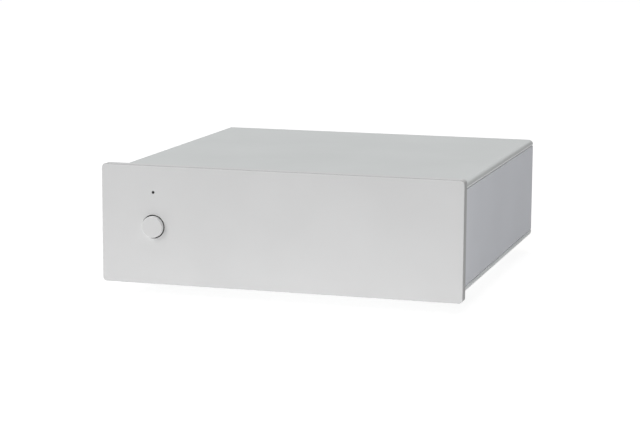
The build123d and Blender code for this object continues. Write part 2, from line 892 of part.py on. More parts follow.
def socket_nuts():
    hole = socket_barrel_radius + seat_play
    low = nut_seat_y - socket_nut_thickness
    places = socket_places.values()
    return group([hex_nut(socket_nut_width, hole, low, nut_seat_y, x, socket_z) for x in places])


def socket_washers():
    section = Circle(socket_ring_radius) - Circle(socket_barrel_radius + seat_play)
    places = socket_places.values()
    return group([run_back(Pos(x, socket_z) * section, nut_seat_y, rear_inner_y) for x in places])


# ---------------------------------------------------------------- ground terminal
def ground_post():
    tip_y = rear_y + ground_nut_thickness + ground_washer_thickness + thumb_nut_length + ground_tip_proud
    head_y = rear_inner_y - ground_head_thickness
    outline = [
        (0, head_y),
        (ground_head_radius, head_y),
        (ground_head_radius, rear_inner_y),
        (ground_post_radius, rear_inner_y),
        (ground_post_radius, tip_y - ground_tip_chamfer),
        (ground_post_radius - ground_tip_chamfer, tip_y),
        (0, tip_y),
    ]
    half = ground_tag_width / 2
    low = (ground_x - half, head_y, board_top_z)
    high = (ground_x + half, head_y + ground_tag_thickness, socket_z)
    return turned(outline, ground_x, socket_z) + block(low, high)


def ground_fixing_nut():
    hole = ground_post_radius + seat_play
    return hex_nut(ground_nut_width, hole, rear_y, rear_y + ground_nut_thickness, ground_x, socket_z)


def ground_washer():
    low = rear_y + ground_nut_thickness
    section = Circle(ground_washer_radius) - Circle(ground_post_radius + thumb_nut_play)
    return run_back(Pos(ground_x, socket_z) * section, low, low + ground_washer_thickness)


def ground_thumb_nut():
    low = rear_y + ground_nut_thickness + ground_washer_thickness
    high = low + thumb_nut_length
    neck = low + thumb_nut_neck_length
    hole = ground_post_radius + thumb_nut_play
    outline = [
        (hole, low),
        (thumb_nut_neck_radius, low),
        (thumb_nut_neck_radius, neck),
        (thumb_nut_radius - thumb_nut_chamfer, neck),
        (thumb_nut_radius, neck + thumb_nut_chamfer),
        (thumb_nut_radius, high - thumb_nut_chamfer),
        (thumb_nut_radius - thumb_nut_chamfer, high),
        (hole, high),
    ]
    nut = turned(outline, ground_x, socket_z)
    grip = PolarLocations(thumb_nut_radius, thumb_nut_grooves) * Circle(thumb_nut_groove_radius)
    return nut - run_back(Pos(ground_x, socket_z) * Sketch(children=grip), neck, high)


# ---------------------------------------------------------------- direct current inlet
def inlet_body():
    half = inlet_width / 2
    low = (inlet_x - half, rear_inner_y - inlet_length, board_top_z)
    high = (inlet_x + half, rear_inner_y, inlet_z + inlet_top)
    body = chamfer(block(low, high).edges().filter_by(Axis.Y).group_by(Axis.Z)[-1], inlet_edge_break)
    body += rod(inlet_nose_radius, rear_inner_y, rear_y, inlet_x, inlet_z)
    bore_end = rear_y - inlet_bore_depth
    body -= rod(inlet_bore_radius, bore_end, rear_y, inlet_x, inlet_z)
    return body - rod(inlet_pin_radius + seat_play, bore_end - inlet_pin_root, bore_end, inlet_x, inlet_z)


def inlet_pin():
    root = rear_y - inlet_bore_depth - inlet_pin_root
    pin = rod(inlet_pin_radius, root, rear_y - inlet_pin_setback, inlet_x, inlet_z)
    return chamfer(pin.edges().sort_by(Axis.Y)[-1], inlet_pin_chamfer)


# ---------------------------------------------------------------- setting switches in the base
def setting_places(side):
    """The X of each slider in one block."""
    first = side * setting_x - (setting_positions - 1) / 2 * setting_spacing
    return [first + slot * setting_spacing for slot in range(setting_positions)]


def setting_block(side):
    """A block of slide switches that hangs under the board and faces down through its window."""
    half = setting_length / 2
    x = side * setting_x
    low = (x - half, setting_y - setting_width / 2, setting_under_z)
    high = (x + half, setting_y + setting_width / 2, board_bottom_z)
    housing = block(low, high)
    roof_z = setting_under_z + slider_roof
    chamber_top = roof_z + slider_foot_thickness + 2 * slider_play
    for slot_x in setting_places(side):
        slot_half_x = slider_knob_width / 2 + slider_play
        slot_half_y = (slider_knob_length + slider_travel) / 2 + slider_play
        slot_low = (slot_x - slot_half_x, setting_y - slot_half_y, setting_under_z)
        housing -= block(slot_low, (slot_x + slot_half_x, setting_y + slot_half_y, roof_z))
        room_half_x = slider_foot_width / 2 + slider_play
        room_half_y = (slider_foot_length + slider_travel) / 2 + slider_play
        room_low = (slot_x - room_half_x, setting_y - room_half_y, roof_z)
        housing -= block(room_low, (slot_x + room_half_x, setting_y + room_half_y, chamber_top))
    return housing


def setting_slider(x):
    """A slider at the front end of its slot: a knob that stands out below and a foot that keeps it in."""
    y = setting_y - slider_travel / 2
    foot_z = setting_under_z + slider_roof + slider_play
    knob_low = (x - slider_knob_width / 2, y - slider_knob_length / 2, setting_under_z - slider_proud)
    knob = block(knob_low, (x + slider_knob_width / 2, y + slider_knob_length / 2, foot_z))
    foot_low = (x - slider_foot_width / 2, y - slider_foot_length / 2, foot_z)
    foot_high = (x + slider_foot_width / 2, y + slider_foot_length / 2, foot_z + slider_foot_thickness)
    return knob + block(foot_low, foot_high)


# ---------------------------------------------------------------- every sub-part, by node name
nodes = {
    "front_panel": front_panel(),
    "front_plate": front_plate(),
    "top_cover": top_cover(),
    "bottom_cover": bottom_cover(),
    "left_rail": left_rail(),
    "right_rail": right_rail(),
    "rear_panel": rear_panel(),
    "front_plate_screws": front_plate_screws(),
    "panel_screws": panel_screws(),
    "rear_panel_screws": rear_panel_screws(),
    "foot_screws": foot_screws(),
    "main_board": main_board(),
    "electrolytic_capacitors": electrolytic_capacitors(),
    "film_capacitors": film_capacitors(),
    "op_amps": op_amps(),
    "muting_relay": muting_relay(),
    "voltage_regulator": voltage_regulator(),
    "resistors": resistors(),
    "power_button": power_button(),
    "switch_plunger": switch_plunger(),
    "switch_housing": switch_housing(),
    "return_spring": return_spring(),
    "status_led": status_led(),
    "light_pipe": light_pipe(),
    "socket_contacts": socket_contacts(),
    "socket_nuts": socket_nuts(),
    "socket_washers": socket_washers(),
    "ground_post": ground_post(),
    "ground_fixing_nut": ground_fixing_nut(),
    "ground_washer": ground_washer(),
    "ground_thumb_nut": ground_thumb_nut(),
    "power_inlet_body": inlet_body(),
    "power_inlet_pin": inlet_pin(),
}
for name, (x, y) in foot_places.items():
    nodes[name] = foot(x, y)
for name, x in socket_places.items():
    nodes[name + "_shell"] = socket_shell(x)
    nodes[name + "_ring"] = socket_ring(x)
    nodes[name + "_core"] = socket_core(x)
for channel, side in (("left", -1), ("right", 1)):
    nodes["setting_block_" + channel] = setting_block(side)
    for number, x in enumerate(setting_places(side), start=1):
        nodes["slider_" + channel + "_" + str(number)] = setting_slider(x)

for name, piece in nodes.items():
    piece.label = name
    export_step(piece, "parts/" + name + ".step")
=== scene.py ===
import json
import math

import bmesh
import bpy
from mathutils import Matrix, Vector


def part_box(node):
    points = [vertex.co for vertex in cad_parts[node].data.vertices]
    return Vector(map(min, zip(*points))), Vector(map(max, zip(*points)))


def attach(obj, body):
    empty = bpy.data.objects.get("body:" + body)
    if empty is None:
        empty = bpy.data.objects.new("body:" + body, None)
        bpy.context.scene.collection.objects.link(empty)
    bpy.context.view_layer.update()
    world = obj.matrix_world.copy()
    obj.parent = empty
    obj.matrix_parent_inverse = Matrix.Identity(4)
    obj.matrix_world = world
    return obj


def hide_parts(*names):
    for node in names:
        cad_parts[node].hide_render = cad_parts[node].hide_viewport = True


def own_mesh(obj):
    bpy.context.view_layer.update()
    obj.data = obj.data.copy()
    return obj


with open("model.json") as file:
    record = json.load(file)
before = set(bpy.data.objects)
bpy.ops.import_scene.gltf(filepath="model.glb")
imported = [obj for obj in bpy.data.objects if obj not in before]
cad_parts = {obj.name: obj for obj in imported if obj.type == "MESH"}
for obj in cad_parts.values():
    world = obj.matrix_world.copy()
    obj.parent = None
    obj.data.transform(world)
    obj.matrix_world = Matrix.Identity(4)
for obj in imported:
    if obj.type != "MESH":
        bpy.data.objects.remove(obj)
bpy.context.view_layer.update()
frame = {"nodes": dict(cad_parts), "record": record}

# The look of a small silver phono preamplifier. Metres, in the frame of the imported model: +Z up, the front
# panel towards -Y, the feet on Z = 0.

NODES = frame["nodes"]
MM = 0.001


def middle(node):
    """The middle of a node's box."""
    low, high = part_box(node)
    return (low + high) / 2


PANEL_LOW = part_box("front_panel")[0]
BUTTON_AXIS = middle("power_button")
PIPE_RADIUS = 1.25 * MM
INDICATOR_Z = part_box("light_pipe")[1].z - PIPE_RADIUS

# The radii of the painted shade in the front panel's two holes and on a thin ring of its face round the
# button's hole. The button's lies a little to the left of the button's axis and below it, as the gap round
# the button does in the photograph.
INDICATOR_HOLE = 0.41 * MM
BUTTON_HOLE = 3.32 * MM
BUTTON_HOLE_SHIFT = Vector((-0.03, 0, -0.015)) * MM

# How far behind the panel's face the button's painted shade starts, and how far inside the rail's side wall
# the rail counts as a groove for its painted light.
SHADE_SETBACK = 0.03 * MM
GROOVE_SETBACK = 0.05 * MM

# Where one solid changes its material: the op amps and their legs, the resistors and their wires, and the
# regulator's legs, body and tab.
CHIP_HALF_WIDTH = 3.2 * MM
RESISTOR_COLUMNS = 4
RESISTOR_HALF_SPAN = 5.05 * MM
RESISTOR_HALF_BODY = 3.2 * MM
REGULATOR_LEG_REACH = 3.0 * MM
REGULATOR_TAB_LENGTH = 6.2 * MM

SETTING_SIDES = ("left", "right")
SETTING_POSITIONS = (1, 2, 3, 4)

# How far a normal goes along a direction, from 0 to 1, where its surface counts as facing that way.
FACES = 0.5
BUTTON_FACES = 0.4
CAN_TOP_FACES = 0.8
CAN_STRIPE_FACES = 0.93

# The colour sockets of a Mix node: three inputs and an output.
MIX_SHARE, MIX_FIRST, MIX_SECOND, MIX_RESULT = 0, 6, 7, 2


# ---------------------------------------------------------------- node helpers
class Shader:
    """A material with a Principled surface and short ways to add nodes to it."""

    def __init__(self, name, colour=(0.8, 0.8, 0.8), roughness=0.5, metallic=0.0):
        self.material = bpy.data.materials.new(name)
        self.material.use_nodes = True
        self.tree = self.material.node_tree
        self.surface = self.tree.nodes["Principled BSDF"]
        self.surface.inputs["Roughness"].default_value = roughness
        self.surface.inputs["Metallic"].default_value = metallic
        self.surface.inputs["Base Color"].default_value = (*colour, 1)
        self.material.diffuse_color = (*colour, 1)
        place = self.add("ShaderNodeTexCoord")
        self.where = place.outputs["Object"]
        self.facing = place.outputs["Normal"]

    def add(self, kind, **inputs):
        """A new node. Each input gets a value, or a link from another node's output."""
        node = self.tree.nodes.new(kind)
        for key, value in inputs.items():
            self.feed(node.inputs[key.replace("_", " ")], value)
        return node

    def feed(self, socket, value):
        if isinstance(value, bpy.types.NodeSocket):
            self.tree.links.new(value, socket)
        else:
            socket.default_value = value

    def source(self, name):
        """What feeds a socket of the surface: the node's output or the value itself."""
        socket = self.surface.inputs[name]
        if socket.links:
            return socket.links[0].from_socket
        value = socket.default_value
        return tuple(value)[:3] if hasattr(value, "__len__") else value

    def noise(self, size, detail=2.0, stretch=(1, 1, 1), roughness=0.5):
        """Noise with features of that size in metres. Stretch lengthens them along an axis."""
        scale = [1 / (size * s) for s in stretch]
        place = self.add("ShaderNodeMapping", Vector=self.where, Scale=scale)
        node = self.add("ShaderNodeTexNoise", Vector=place.outputs["Vector"], Scale=1.0, Detail=detail)
        node.inputs["Roughness"].default_value = roughness
        return node.outputs["Fac"]

    def ramp(self, value, *stops, steps=False):
        """Colours or greys along a value from 0 to 1. Each stop is (place, colour)."""
        node = self.add("ShaderNodeValToRGB", Fac=value)
        if steps:
            node.color_ramp.interpolation = "CONSTANT"
        elements = node.color_ramp.elements
        while len(elements) < len(stops):
            elements.new(0.5)
        for element, (place, colour) in zip(elements, stops):
            element.position = place
            element.color = (*colour, 1) if hasattr(colour, "__len__") else (colour, colour, colour, 1)
        return node.outputs["Color"]

    def math(self, operation, a, b=0.0):
        node = self.tree.nodes.new("ShaderNodeMath")
        node.operation = operation
        self.feed(node.inputs[0], a)
        self.feed(node.inputs[1], b)
        return node.outputs[0]

    def vector(self, operation, a, b, output="Vector"):
        node = self.tree.nodes.new("ShaderNodeVectorMath")
        node.operation = operation
        self.feed(node.inputs[0], a)
        self.feed(node.inputs[1], b)
        return node.outputs[output]

    def part(self, vector, axis):
        """One number of a vector: its X, Y or Z."""
        return self.add("ShaderNodeSeparateXYZ", Vector=vector).outputs[axis]

    def over(self, value, limit):
        """1 where the value is over the limit, else 0."""
        return self.math("GREATER_THAN", value, limit)

    def both(self, first, second):
        """1 where two masks are both 1."""
        return self.math("MULTIPLY", first, second)

    def from_line(self, x, z):
        """The distance in metres from a line along Y."""
        return self.vector("DISTANCE", self.vector("MULTIPLY", self.where, (1, 0, 1)), (x, 0, z), "Value")

    def mix(self, share, first, second, kind="MIX"):
        node = self.tree.nodes.new("ShaderNodeMix")
        node.data_type = "RGBA"
        node.blend_type = kind
        for index, value in ((MIX_SHARE, share), (MIX_FIRST, first), (MIX_SECOND, second)):
            if index != MIX_SHARE and not isinstance(value, bpy.types.NodeSocket):
                value = (*value, 1)
            self.feed(node.inputs[index], value)
        return node.outputs[MIX_RESULT]

    def multiply(self, first, second):
        return self.mix(1.0, first, second, "MULTIPLY")

    def colour(self, value):
        self.feed(self.surface.inputs["Base Color"], value)
        return self

    def rough(self, value):
        self.feed(self.surface.inputs["Roughness"], value)
        return self

    def bump(self, height, depth, strength=1.0):
        """Relief from a height of 0 to 1, depth metres deep."""
        earlier = self.surface.inputs["Normal"].links
        node = self.add("ShaderNodeBump", Height=height, Distance=depth, Strength=strength)
        if earlier:
            self.tree.links.new(earlier[0].from_socket, node.inputs["Normal"])
        self.tree.links.new(node.outputs["Normal"], self.surface.inputs["Normal"])
        return self

    def drift(self, colour, size, darkest, lightest):
        """A colour that drifts between a darker and a lighter tone of itself, in clouds of that size."""
        dark = [c * darkest for c in colour]
        light = [min(1, c * lightest) for c in colour]
        return self.ramp(self.noise(size, detail=3), (0.3, dark), (0.7, light))

    def patch(self, mask, colour, bare=False):
        """Another colour where the mask is 1, and only there bare metal if it is to be bare."""
        self.colour(self.mix(mask, self.source("Base Color"), colour))
        if bare:
            self.feed(self.surface.inputs["Metallic"], mask)
        return self


# ---------------------------------------------------------------- metal finishes
FRONT_SILVER = (0.717, 0.718, 0.719)
COVER_SILVER = (0.660, 0.679, 0.677)
ANODISED_METALLIC = 0.1
TINNED = (0.62, 0.61, 0.58)
# Near-black for painted shade in the front panel's holes and on the button behind the panel's face.
PAINTED_SHADE = (0.004, 0.004, 0.004)


def anodised(name, colour, roughness=0.65, sideways=(), upward=(), downward=()):
    """Bead-blasted, anodised aluminium: a fine even grain, a faint cloudiness and a few handling marks.

    sideways, upward and downward paint light and shade on the metal by the way it faces, as stops: how far it
    faces there, from 0 to 1, and the painted tone against the rest.
    """
    shader = Shader(name, colour, roughness, ANODISED_METALLIC)
    fine = shader.noise(0.12 * MM, detail=2, roughness=0.6)
    marks = shader.noise(9 * MM, detail=5, stretch=(3, 1, 1), roughness=0.7)
    tone = shader.drift(colour, 28 * MM, 0.975, 1.02)
    tone = shader.multiply(tone, shader.ramp(fine, (0.25, 0.965), (0.75, 1.0)))
    across = shader.math("ABSOLUTE", shader.part(shader.facing, "X"))
    rise = shader.part(shader.facing, "Z")
    drop = shader.math("MULTIPLY", rise, -1.0)
    # Painted light and shade by the way the surface faces.
    for value, stops in ((across, sideways), (rise, upward), (drop, downward)):
        if stops:
            tone = shader.multiply(tone, shader.ramp(value, *stops))
    shader.colour(tone)
    polish = shader.math("MULTIPLY", shader.ramp(marks, (0.62, 0.0), (0.75, 0.05)), -1.0)
    grain = shader.ramp(fine, (0.2, roughness - 0.04), (0.8, roughness + 0.05))
    shader.rough(shader.math("ADD", grain, polish))
    shader.bump(fine, 0.004 * MM, 0.6)
    return shader


def front_aluminium():
    """The front panel, with painted shade on its ends, its top and its upper bevel, a painted highlight on
    its side bevels, and painted shade in its two holes.
    """
    shader = anodised(
        "front_aluminium",
        FRONT_SILVER,
        # Painted shade: the ends and the top are made darker than the face.
        sideways=((0.75, 1.0), (0.95, 0.60)),
        upward=((0.75, 1.0), (0.95, 0.945)),
    )
    rise = shader.part(shader.facing, "Z")
    across = shader.math("ABSOLUTE", shader.part(shader.facing, "X"))
    ahead = shader.math("LESS_THAN", shader.part(shader.facing, "Y"), -FACES)
    # Painted shade on the upper bevel and a painted highlight on the side bevels.
    for value, colour in ((rise, (0.44, 0.44, 0.44)), (across, (0.76, 0.76, 0.76))):
        shader.patch(shader.both(ahead, shader.over(value, FACES)), colour)
    indicator = shader.from_line(BUTTON_AXIS.x, INDICATOR_Z)
    button_hole = BUTTON_AXIS + BUTTON_HOLE_SHIFT
    button = shader.from_line(button_hole.x, button_hole.z)
    # Painted shade: near-black inside the two holes and on a thin ring of the face round the button's hole.
    for distance, radius in ((indicator, INDICATOR_HOLE), (button, BUTTON_HOLE)):
        shader.patch(shader.math("LESS_THAN", distance, radius), PAINTED_SHADE)
    return shader


def cover_aluminium():
    """The top cover, with painted light and shade on its bend: lighter at its start and darker where it ends,
    and a painted highlight at the lip and where it faces down and out.
    """
    bend = ((0.0, 1.0), (0.26, 1.17), (0.47, 1.25), (0.63, 1.20), (0.75, 1.05), (0.85, 0.94), (0.93, 0.88))
    lip = ((0.98, 0.98), (0.992, 1.38))
    return anodised(
        "cover_aluminium",
        COVER_SILVER,
        sideways=bend + lip,
        downward=((0.5, 1.0), (0.7, 1.5), (0.9, 1.0)),
    )


def base_aluminium():
    """The base: a little lighter than the cover all over, with painted light along its sides and most where
    they bend.
    """
    return anodised(
        "base_aluminium",
        COVER_SILVER,
        sideways=((0.3, 1.1), (0.6, 1.4), (0.75, 1.4), (0.9, 1.18)),
    )


def rail_aluminium():
    """The rails: extruded, a little bluer than the covers, with painted light in their upper grooves, where
    shade falls.
    """
    shader = anodised("rail_aluminium", (0.720, 0.737, 0.780), 0.63)
    across = shader.math("ABSOLUTE", shader.part(shader.where, "X"))
    groove = shader.math("LESS_THAN", across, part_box("right_rail")[1].x - GROOVE_SETBACK)
    upper = shader.over(shader.part(shader.where, "Z"), middle("right_rail").z)
    end = shader.math("ABSOLUTE", shader.part(shader.facing, "Y"))
    along = shader.math("LESS_THAN", end, FACES)
    # Painted light on the floor of the upper groove.
    return shader.patch(shader.both(shader.both(groove, upper), along), (0.78, 0.79, 0.80))


def button_aluminium():
    """A turned cap whose side is painted nearly white, a painted highlight, and which is painted black behind
    the panel's face, a painted shade in the gap round it.
    """
    shader = anodised("button_aluminium", FRONT_SILVER, 0.6)
    ahead = shader.math("ABSOLUTE", shader.part(shader.facing, "Y"))
    # Painted highlight on the button's side.
    shader.patch(shader.math("LESS_THAN", ahead, BUTTON_FACES), (0.95, 0.95, 0.95))
    # Painted shade on the part of the button behind the panel's face.
    inside = shader.over(shader.part(shader.where, "Y"), PANEL_LOW.y + SHADE_SETBACK)
    return shader.patch(inside, PAINTED_SHADE)


def plated(name, colour, roughness, metallic=1.0):
    """Plated or polished metal with a faint drift in tone and fine turning lines."""
    shader = Shader(name, colour, roughness, metallic)
    fine = shader.noise(0.15 * MM, detail=3, stretch=(1, 6, 1))
    shader.colour(shader.drift(colour, 3 * MM, 0.93, 1.05))
    shader.rough(shader.ramp(fine, (0.3, roughness - 0.05), (0.7, roughness + 0.07)))
    return shader.bump(fine, 0.003 * MM, 0.4)


def black_steel():
    """Blackened steel that shows its metal a little where the driver has touched it."""
    shader = plated("black_steel", (0.03, 0.03, 0.032), 0.4, 0.6)
    worn = shader.ramp(shader.noise(0.5 * MM, detail=4), (0.60, 0.0), (0.72, 0.35))
    return shader.colour(shader.mix(worn, shader.source("Base Color"), (0.22, 0.22, 0.23)))


# ---------------------------------------------------------------- moulded finishes
def moulded(name, colour, roughness, grain=0.3 * MM, depth=0.01 * MM, vary=0.06):
    """Moulded plastic with a little variation in tone and a fine relief."""
    shader = Shader(name, colour, roughness)
    fine = shader.noise(grain, detail=2)
    shader.colour(shader.drift(colour, 6 * MM, 1 - vary, 1 + vary))
    shader.rough(shader.ramp(fine, (0.3, max(0.02, roughness - 0.05)), (0.7, min(1, roughness + 0.05))))
    return shader.bump(fine, depth, 0.5)


DUST_REACH = 2.0 * MM


def foot_rubber():
    """Matt black rubber, greyer and dusty where it has stood."""
    shader = moulded("foot_rubber", (0.018, 0.018, 0.018), 0.75, grain=0.2 * MM, depth=0.03 * MM, vary=0.15)
    dust = shader.noise(0.8 * MM, detail=4)
    height = shader.math("MULTIPLY", shader.part(shader.where, "Z"), 1 / DUST_REACH)
    low = shader.ramp(height, (0.0, 0.5), (1.0, 0.0))
    share = shader.multiply(low, shader.ramp(dust, (0.4, 0.0), (0.7, 1.0)))
    return shader.colour(shader.mix(share, shader.source("Base Color"), (0.12, 0.12, 0.115)))


def capacitor_sleeve():
    """A printed plastic sleeve with a pale stripe down one side and the bare aluminium top of the can."""
    shader = moulded("capacitor_sleeve", (0.015, 0.017, 0.024), 0.3)
    stripe = shader.over(shader.math("MULTIPLY", shader.part(shader.facing, "X"), -1.0), CAN_STRIPE_FACES)
    shader.patch(stripe, (0.55, 0.56, 0.58))
    top = shader.over(shader.part(shader.facing, "Z"), CAN_TOP_FACES)
    return shader.patch(top, (0.70, 0.70, 0.71), bare=True)


def board_green():
    """Green solder mask over copper tracks, with the pale laminate bare at the cut edges."""
    shader = moulded("board_green", (0.012, 0.095, 0.038), 0.28)
    tracks = shader.add("ShaderNodeTexBrick", Vector=shader.where, Scale=1 / (5 * MM))
    tracks.inputs["Mortar Size"].default_value = 0.03
    shader.colour(shader.mix(tracks.outputs["Fac"], shader.source("Base Color"), (0.03, 0.17, 0.06)))
    shader.bump(tracks.outputs["Fac"], 0.03 * MM, 0.6)
    level = shader.math("ABSOLUTE", shader.part(shader.facing, "Z"))
    return shader.patch(shader.math("LESS_THAN", level, FACES), (0.42, 0.40, 0.24))


ENAMEL = (0.12, 0.30, 0.48)
INKS = {"brown": (0.13, 0.04, 0.015), "black": (0.01, 0.01, 0.01), "red": (0.45, 0.01, 0.01)}
BANDS = ((0.10, "brown"), (0.24, "black"), (0.38, "black"), (0.52, "red"), (0.80, "brown"))
BAND_WIDTH = 0.07


def resistor_enamel():
    """Blue enamel with five colour bands, between tinned wires."""
    low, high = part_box("resistors")
    first = low.x + RESISTOR_HALF_SPAN
    pitch = (high.x - low.x - 2 * RESISTOR_HALF_SPAN) / (RESISTOR_COLUMNS - 1)
    shader = Shader("resistor_blue", ENAMEL, 0.3)
    column = shader.math("DIVIDE", shader.math("SUBTRACT", shader.part(shader.where, "X"), first), pitch)
    offset = shader.math("MULTIPLY", shader.math("SUBTRACT", column, shader.math("ROUND", column)), pitch)
    along = shader.math("ADD", shader.math("DIVIDE", offset, 2 * RESISTOR_HALF_BODY), 0.5)
    stops = [(0.0, ENAMEL)]
    for start, ink in BANDS:
        stops += [(start, INKS[ink]), (start + BAND_WIDTH, ENAMEL)]
    cloud = shader.ramp(shader.noise(0.6 * MM), (0.3, 0.92), (0.7, 1.0))
    shader.colour(shader.multiply(shader.ramp(along, *stops, steps=True), cloud))
    wire = shader.over(shader.math("ABSOLUTE", offset), RESISTOR_HALF_BODY)
    return shader.patch(wire, TINNED, bare=True).bump(shader.noise(0.4 * MM), 0.02 * MM, 0.5)


def chip_epoxy():
    """Black moulded epoxy. What lies outside its width are the tinned legs."""
    shader = moulded("chip_epoxy", (0.022, 0.022, 0.024), 0.55, grain=0.15 * MM)
    across = shader.math("SUBTRACT", shader.part(shader.where, "Y"), middle("op_amps").y)
    legs = shader.over(shader.math("ABSOLUTE", across), CHIP_HALF_WIDTH)
    return shader.patch(legs, TINNED, bare=True)


def regulator_case():
    """Black epoxy between the three legs in front and the metal tab behind."""
    low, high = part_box("voltage_regulator")
    shader = moulded("regulator_case", (0.022, 0.022, 0.024), 0.5, grain=0.15 * MM)
    across = shader.part(shader.where, "Y")
    legs = shader.math("LESS_THAN", across, low.y + REGULATOR_LEG_REACH)
    tab = shader.over(across, high.y - REGULATOR_TAB_LENGTH)
    return shader.patch(shader.math("ADD", legs, tab), TINNED, bare=True)


FINISHES = {
    "front_aluminium": front_aluminium(),
    "case_aluminium": cover_aluminium(),
    "rail_aluminium": rail_aluminium(),
    "rear_aluminium": anodised("rear_aluminium", (0.680, 0.690, 0.690)),
    "zinc_steel": plated("zinc_steel", (0.56, 0.57, 0.58), 0.35, 0.9),
    "black_steel": black_steel(),
    "spring_steel": plated("spring_steel", (0.60, 0.60, 0.60), 0.25),
    "gold_plate": plated("gold_plate", (0.86, 0.60, 0.22), 0.2),
    "gold_contact": plated("gold_contact", (0.83, 0.58, 0.22), 0.25),
    "board_green": board_green(),
    "capacitor_sleeve": capacitor_sleeve(),
    "film_red": moulded("film_red", (0.45, 0.04, 0.02), 0.3),
    "black_plastic": moulded("black_plastic", (0.025, 0.025, 0.026), 0.5),
    "relay_plastic": moulded("relay_plastic", (0.75, 0.75, 0.70), 0.35),
    "resistor_blue": resistor_enamel(),
    "white_plastic": moulded("white_plastic", (0.80, 0.80, 0.76), 0.45),
    "led_plastic": moulded("led_plastic", (0.35, 0.45, 0.60), 0.15),
    # The light pipe's clear plastic is made nearly black, a painted shade for its recessed hole.
    "clear_plastic": moulded("clear_plastic", (0.008, 0.008, 0.009), 0.35),
    "socket_insulator": moulded("socket_insulator", (0.80, 0.80, 0.76), 0.5),
    "ring_red": moulded("ring_red", (0.50, 0.02, 0.02), 0.35),
    "ring_white": moulded("ring_white", (0.82, 0.82, 0.79), 0.35),
    "switch_blue": moulded("switch_blue", (0.02, 0.08, 0.32), 0.4, grain=0.15 * MM),
    "foot_rubber": foot_rubber(),
}
OWN_FINISHES = {
    "power_button": button_aluminium(),
    "bottom_cover": base_aluminium(),
    "op_amps": chip_epoxy(),
    "voltage_regulator": regulator_case(),
}
PRINT = moulded("white_print", (0.78, 0.78, 0.76), 0.6, grain=0.05 * MM, depth=0.002 * MM)

for row in frame["record"]["subparts"]:
    finish = OWN_FINISHES.get(row["node"], FINISHES[row["material_slot"]])
    for material_slot in NODES[row["node"]].material_slots:
        material_slot.link = "OBJECT"
        material_slot.material = finish.material


# ---------------------------------------------------------------- pieces
def piece(name, mesh, body, finish, smooth=False):
    """A mesh that rides on a body of the frame."""
    mesh.materials.clear()
    mesh.materials.append(finish.material)
    mesh.polygons.foreach_set("use_smooth", [smooth] * len(mesh.polygons))
    made = bpy.data.objects.new(name, mesh)
    bpy.context.scene.collection.objects.link(made)
    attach(made, body)
    return made


def tube_of_rings(form, rings):
    """A closed skin over rings of points, with a flat cap at each end."""
    skin = [[form.verts.new(point) for point in ring] for ring in rings]
    count = len(skin[0])
    for near, far in zip(skin, skin[1:]):
        for i in range(count):
            form.faces.new((near[i], near[(i + 1) % count], far[(i + 1) % count], far[i]))
    form.faces.new(list(reversed(skin[0])))
    form.faces.new(skin[-1])


def finished_mesh(name, form):
    """The form as a mesh, with its faces turned outward."""
    bmesh.ops.recalc_face_normals(form, faces=form.faces)
    mesh = bpy.data.meshes.new(name)
    form.to_mesh(mesh)
    form.free()
    return mesh


POST_LOW, POST_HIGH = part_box("ground_post")
POST_AXIS = middle("ground_thumb_nut")
POST_RADIUS = 2.0 * MM
POST_HEAD_RADIUS = 3.4 * MM
POST_HEAD_THICKNESS = 1.8 * MM
POST_HEAD_BEVEL = POST_HEAD_RADIUS / 8
POST_TIP_CHAMFER = 0.4 * MM
THREAD_PITCH = 0.7 * MM
THREAD_DEPTH = 0.3 * MM
THREAD_STEEPNESS = 1.3
THREAD_SIDES = 48
THREAD_STEPS = 8
TAG_HALF_WIDTH = 1.2 * MM
TAG_THICKNESS = 0.8 * MM


def post_ring(y, radius_at):
    """Points round the post's axis. radius_at gives the radius for a turn from 0 to 1."""
    ring = []
    for i in range(THREAD_SIDES):
        turn = i / THREAD_SIDES
        radius = radius_at(turn)
        angle = 2 * math.pi * turn
        ring.append((POST_AXIS.x + radius * math.cos(angle), y, POST_AXIS.z + radius * math.sin(angle)))
    return ring


def threaded_post():
    """The ground terminal's post: a head, a solder tag down to the board and a real screw thread."""
    head_end = POST_LOW.y + POST_HEAD_THICKNESS
    form = bmesh.new()
    outline = (
        (POST_LOW.y, POST_HEAD_RADIUS - POST_HEAD_BEVEL),
        (POST_LOW.y + POST_HEAD_BEVEL, POST_HEAD_RADIUS),
        (head_end, POST_HEAD_RADIUS),
    )
    tube_of_rings(form, [post_ring(y, lambda turn, radius=radius: radius) for y, radius in outline])

    def thread_radius(y, turn):
        """The thread's radius: flanks that rise from the root to a flat crest, and a chamfer at the tip."""
        phase = ((y - head_end) / THREAD_PITCH - turn) % 1
        crest = min(1, THREAD_STEEPNESS * abs(2 * phase - 1))
        tip = POST_RADIUS - POST_TIP_CHAMFER + POST_HIGH.y - y
        return min(POST_RADIUS - THREAD_DEPTH * (1 - crest), tip)

    count = math.ceil((POST_HIGH.y - head_end) / THREAD_PITCH * THREAD_STEPS)
    rings = []
    for step in range(count + 1):
        y = head_end + (POST_HIGH.y - head_end) * step / count
        rings.append(post_ring(y, lambda turn, y=y: thread_radius(y, turn)))
    tube_of_rings(form, rings)

    left, right = POST_AXIS.x - TAG_HALF_WIDTH, POST_AXIS.x + TAG_HALF_WIDTH
    front, back = POST_LOW.y, POST_LOW.y + TAG_THICKNESS
    tag = []
    for z in (POST_LOW.z, POST_AXIS.z):
        tag.append([(left, front, z), (right, front, z), (right, back, z), (left, back, z)])
    tube_of_rings(form, tag)
    mesh = finished_mesh("threaded_post", form)
    post = piece("threaded_post", mesh, "case", FINISHES["gold_plate"])
    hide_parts("ground_post")


PRINT_RISE = 0.02 * MM
NUMERAL_HEIGHT = 1.5 * MM
NUMERAL_INSET = 0.8 * MM
WORD_SHIFT = NUMERAL_HEIGHT / 4


